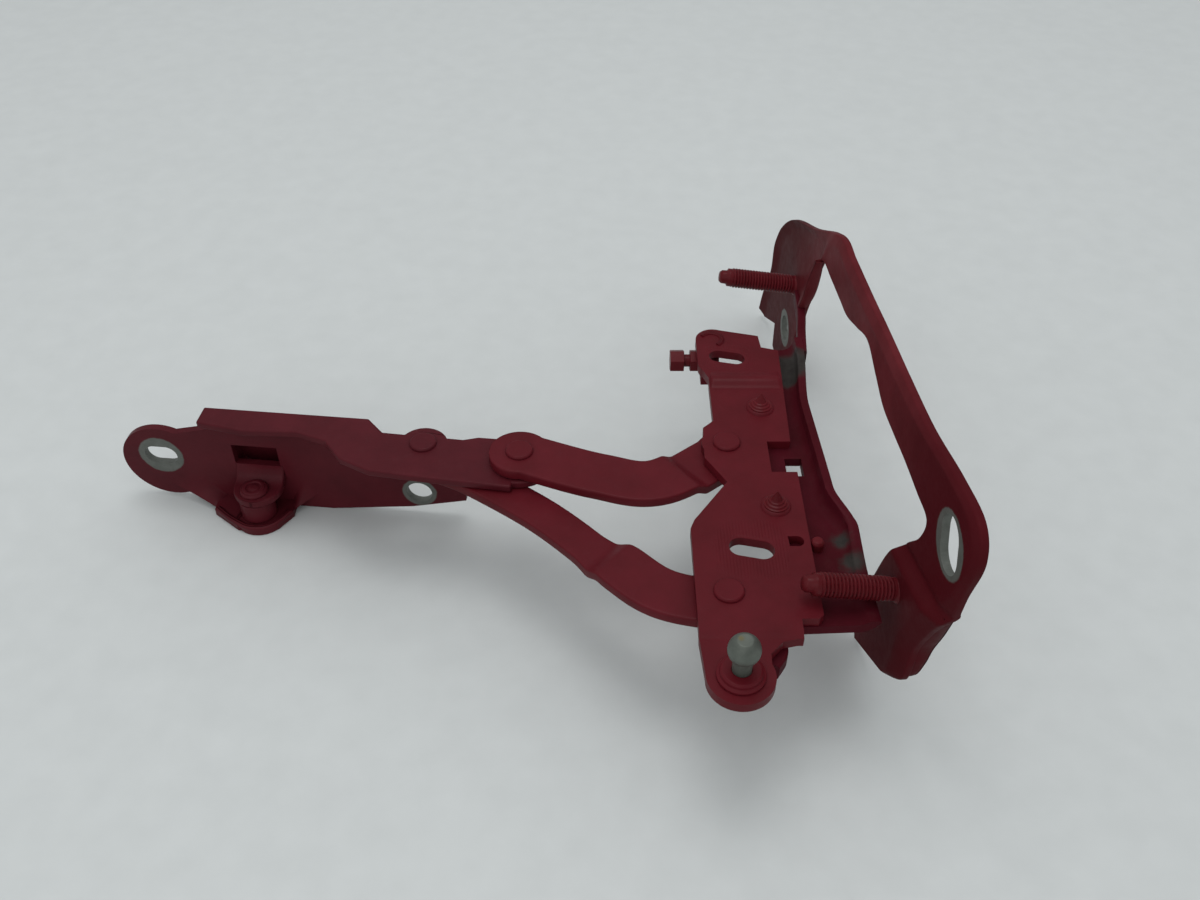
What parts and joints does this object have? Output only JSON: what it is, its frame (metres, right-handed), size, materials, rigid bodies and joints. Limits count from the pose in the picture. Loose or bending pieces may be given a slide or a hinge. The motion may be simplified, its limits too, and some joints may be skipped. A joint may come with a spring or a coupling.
{
  "type": "bonnet hinge",
  "caption": "Painted steel bonnet hinge: a four-bar linkage between a slotted hinge plate on a stamped body bracket and a bonnet arm with a catch roller.",
  "frame": {"origin": "centre of the hinge plate's lower slot on the plate's upper face", "axes": "+Z along the link pivots, out of the plate's upper face; +Y from the strut ball towards the upper ear; +X towards the body bracket's upright"},
  "size_m": [0.2899, 0.2652, 0.1155],
  "materials": {
    "body_paint": "satin gloss dark red body paint",
    "bracket_paint": "thin satin dark red body paint over zinc",
    "zinc": "dull grey zinc plate"
  },
  "bodies": {
    "body_side": {"hinge_plate": "body_paint", "body_bracket": "bracket_paint", "near_stud": "body_paint", "far_stud": "body_paint", "ball_stud": "zinc", "ball_stud_collar": "body_paint", "plate_screw_upper": "body_paint", "plate_screw_lower": "body_paint", "locating_peg": "body_paint", "stop_screw": "body_paint", "stop_nut": "body_paint", "rivet_c": "body_paint", "rivet_d": "body_paint"},
    "lower_arm": {"lower_link": "body_paint", "bush_b": "zinc", "bush_d": "zinc"},
    "upper_arm": {"upper_link": "body_paint", "bush_c": "zinc", "rivet_a": "body_paint"},
    "bonnet_side": {"bonnet_arm": "body_paint", "arm_flange": "body_paint", "arm_lip": "body_paint", "catch_tab": "body_paint", "catch_pin": "body_paint", "rivet_b": "body_paint"},
    "roller": {"catch_roller": "bracket_paint"}
  },
  "joints": [
    {"name": "hinge_fold", "type": "hinge", "parent": "body_side", "child": "lower_arm", "pos_m": [-0.009, -0.0185, 0], "axis": [0, 0, 1], "range_deg": [-16, 0]},
    {"name": "upper_pivot", "type": "hinge", "parent": "body_side", "child": "upper_arm", "pos_m": [-0.004, 0.052, 0], "axis": [0, 0, 1], "range_deg": [-1, 2]},
    {"name": "bonnet_pivot", "type": "hinge", "parent": "lower_arm", "child": "bonnet_side", "pos_m": [-0.1145, 0.0575, 0], "axis": [0, 0, 1], "range_deg": [-45, 1]},
    {"name": "roller_turn", "type": "hinge", "parent": "bonnet_side", "child": "roller", "pos_m": [-0.1845, 0.0655, -0.0445], "axis": [0, 0, 1], "continuous": true}
  ],
  "couplings": [
    {"joint": "upper_pivot", "follows": "hinge_fold", "ratio": -0.1},
    {"joint": "bonnet_pivot", "follows": "hinge_fold", "ratio": 2.75}
  ]
}
